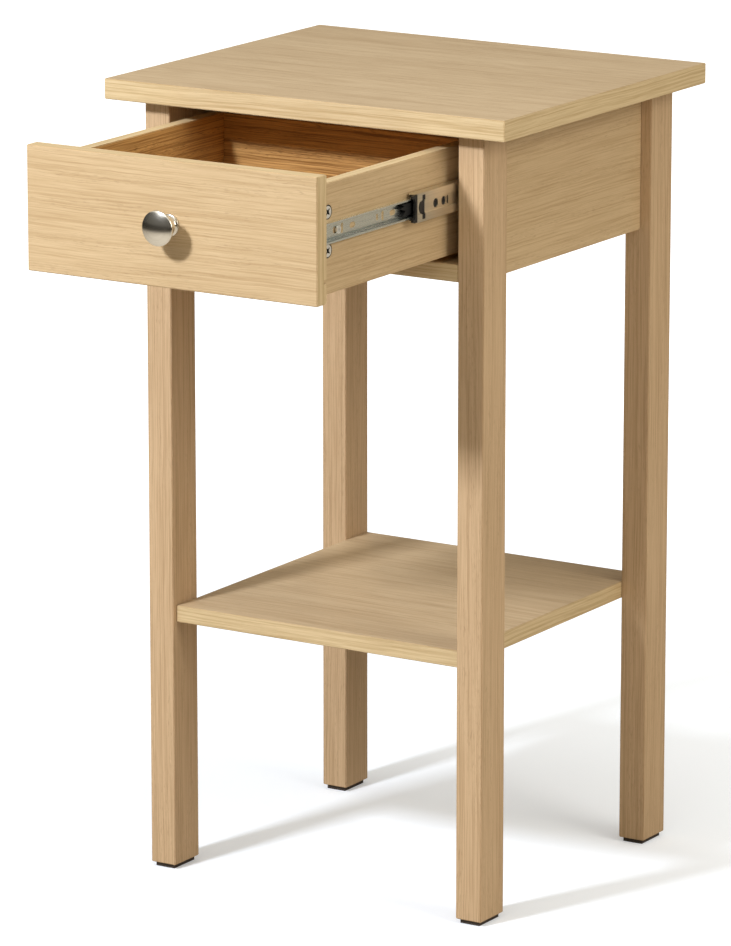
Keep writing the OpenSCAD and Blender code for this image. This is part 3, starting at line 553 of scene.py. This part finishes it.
def rolled_channel(node, body, material):
    """A copy of a channel's CAD solid, merged, with each long edge that runs
    along the slide rounded."""
    shape = merged_copy(node)

    def is_bend(edge):
        run = edge.verts[1].co - edge.verts[0].co
        lengthwise = run.length > shortest_bend and abs(run.y) > 0.999 * run.length
        return lengthwise and len(edge.link_faces) == 2 and edge.calc_face_angle(0) > 0.5

    bmesh.ops.bevel(shape, geom=[e for e in shape.edges if is_bend(e)], offset=bend_r, segments=3,
                    affect="EDGES", clamp_overlap=True)
    made = flat_faced(node + "_strip", shape)
    made.data.materials.append(material)
    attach(made, body)
    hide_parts(node)


# The strip's texture is drawn out along it, as rolling leaves it.
along = (900, 8, 900)
cool_zinc = textured("cool_zinc", light=(0.93, 0.97, 0.94), dark=(0.84, 0.88, 0.86),
                     smooth=0.22, rough=0.30, metallic=1.0, rates=along, relief=0.000001)
warm_zinc = textured("warm_zinc", light=(0.84, 0.80, 0.69), dark=(0.74, 0.70, 0.60),
                     smooth=0.30, rough=0.38, metallic=1.0, rates=along, relief=0.000001)
plain_zinc = textured("plain_zinc", light=(0.70, 0.71, 0.69), dark=(0.58, 0.59, 0.58),
                      smooth=0.28, rough=0.38, metallic=1.0, rates=along, relief=0.000001)
black_plastic = textured("black_plastic", light=(0.013, 0.013, 0.014), dark=(0.007, 0.007, 0.008),
                         smooth=0.42, rough=0.60, metallic=0.0,
                         rates=(2200, 2200, 2200), relief=0.00003)
ball_steel = textured("ball_steel", light=(0.82, 0.82, 0.82), dark=(0.70, 0.70, 0.70),
                      smooth=0.06, rough=0.14, metallic=1.0, rates=(2600, 2600, 2600), relief=0.000005)
for side in ("left", "right"):
    rolled_channel("cabinet_member_" + side, "carcass", plain_zinc)
    rolled_channel("middle_member_" + side, "middle_" + side, warm_zinc)
    rolled_channel("drawer_member_" + side, "drawer", cool_zinc)
    finish_nodes(["outer_ball_cage_" + side], plain_zinc)
    finish_nodes(["outer_balls_" + side, "inner_balls_" + side], ball_steel)
    finish_nodes(["inner_ball_cage_" + side, "middle_bumper_" + side, "release_lever_" + side,
                  "closing_stop_" + side], black_plastic)

# ---- Knob ----------------------------------------------------------------------------
# Turned from brass and plated in satin nickel: a flared foot, a hollow waist and
# a broad head with a low dome, held by a screw from inside the drawer.
lo, hi = (np.array(c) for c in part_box("knob"))
knob_x, knob_z = (lo[0] + hi[0]) / 2, (lo[2] + hi[2]) / 2
head_r = (hi[0] - lo[0]) / 2
knob_h = hi[1] - lo[1]


def knob_profile():
    """Radius and height along the knob's outline: quarter ellipses from the
    foot to the waist and from the waist to the head, an arc round the rim, and
    a circle's cap for the dome."""
    foot_r, waist_r, rim_r = 0.00925, 0.00625, 0.0014
    foot_h, waist_h, dome_h = 0.0016, 0.0085, 0.0042
    quarter = np.linspace(0, math.pi / 2, 20)
    rim_h = knob_h - dome_h
    flare_r, flare_h = head_r - rim_r - waist_r, rim_h - rim_r - waist_h
    foot_break = 0.0003
    foot = np.array([[0, 0], [foot_r - foot_break, 0], [foot_r, foot_break], [foot_r, foot_h]])
    neck = np.stack([foot_r + (waist_r - foot_r) * np.sin(quarter),
                     foot_h + (waist_h - foot_h) * (1 - np.cos(quarter))], 1)
    flare = np.stack([waist_r + flare_r * (1 - np.cos(quarter)),
                      waist_h + flare_h * np.sin(quarter)], 1)
    turn = np.linspace(-math.pi / 2, math.pi / 3, 14)
    rim = np.stack([head_r - rim_r + rim_r * np.cos(turn), rim_h + rim_r * np.sin(turn)], 1)
    edge_r, edge_h = rim[-1]
    rise = knob_h - edge_h
    dome_r = (edge_r ** 2 + rise ** 2) / (2 * rise)
    fall = np.linspace(math.asin(edge_r / dome_r), 0, 24)[1:]
    dome = np.stack([dome_r * np.sin(fall), knob_h - dome_r * (1 - np.cos(fall))], 1)
    return np.concatenate([foot, neck[1:], flare[1:], rim[1:], dome])


def turned(name, profile, count):
    """A surface turned about an axis along -Y. A point at angle a and place i
    on the profile is (radius of i times cos a, minus the height of i, radius
    of i times sin a). The profile's two ends lie on the axis, and each is one
    vertex."""
    angle = np.arange(count) * 2 * math.pi / count
    inner = profile[1:-1]
    ring = np.stack([inner[:, None, 0] * np.cos(angle), np.repeat(-inner[:, None, 1], count, 1),
                     inner[:, None, 0] * np.sin(angle)], 2).reshape(-1, 3)
    ends = np.array([[0, -profile[0, 1], 0], [0, -profile[-1, 1], 0]])
    verts = np.concatenate([ring, ends])
    rows, turn = np.meshgrid(np.arange(len(inner) - 1), np.arange(count), indexing="ij")
    after = (turn + 1) % count
    quads = np.stack([rows * count + turn, (rows + 1) * count + turn,
                      (rows + 1) * count + after, rows * count + after], 2).reshape(-1, 4)
    step_on = (np.arange(count) + 1) % count
    first, last = len(ring), len(ring) + 1
    top = (len(inner) - 1) * count
    caps = [np.stack([np.full(count, first), np.arange(count), step_on], 1),
            np.stack([np.full(count, last), top + step_on, top + np.arange(count)], 1)]
    mesh = bpy.data.meshes.new(name)
    mesh.from_pydata(verts.tolist(), [], quads.tolist() + caps[0].tolist() + caps[1].tolist())
    shape = bmesh.new()
    shape.from_mesh(mesh)
    bmesh.ops.recalc_face_normals(shape, faces=shape.faces)
    shape.to_mesh(mesh)
    shape.free()
    mesh.shade_smooth()
    return mesh


knob_mesh = turned("knob_turned", knob_profile(), 96)
in_place = values_of(knob_mesh.vertices, "co", 3) + (knob_x, hi[1], knob_z)
knob_mesh.vertices.foreach_set("co", in_place.ravel())
knob = bpy.data.objects.new("knob_turned", knob_mesh)
scene.collection.objects.link(knob)


def about_the_knob(tree, spot):
    """Distance from the knob's axis and place along it, so that the texture
    runs in fine rings as a lathe leaves them."""
    part = add(tree, "ShaderNodeSeparateXYZ", {0: spot}).outputs
    level = add(tree, "ShaderNodeCombineXYZ", {
        0: math_node(tree, "SUBTRACT", part[0], float(knob_x)),
        1: math_node(tree, "SUBTRACT", part[2], float(knob_z))}).outputs[0]
    radius = add(tree, "ShaderNodeVectorMath", {0: level}, operation="LENGTH").outputs["Value"]
    return add(tree, "ShaderNodeCombineXYZ", {0: radius, 1: part[1]}).outputs[0]


satin_nickel = textured("satin_nickel", light=(0.80, 0.77, 0.71), dark=(0.68, 0.65, 0.59),
                        smooth=0.15, rough=0.22, metallic=1.0, rates=(2400, 1200, 1), relief=0.000004,
                        place=about_the_knob)
knob_mesh.materials.append(satin_nickel)
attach(knob, "drawer")
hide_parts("knob")
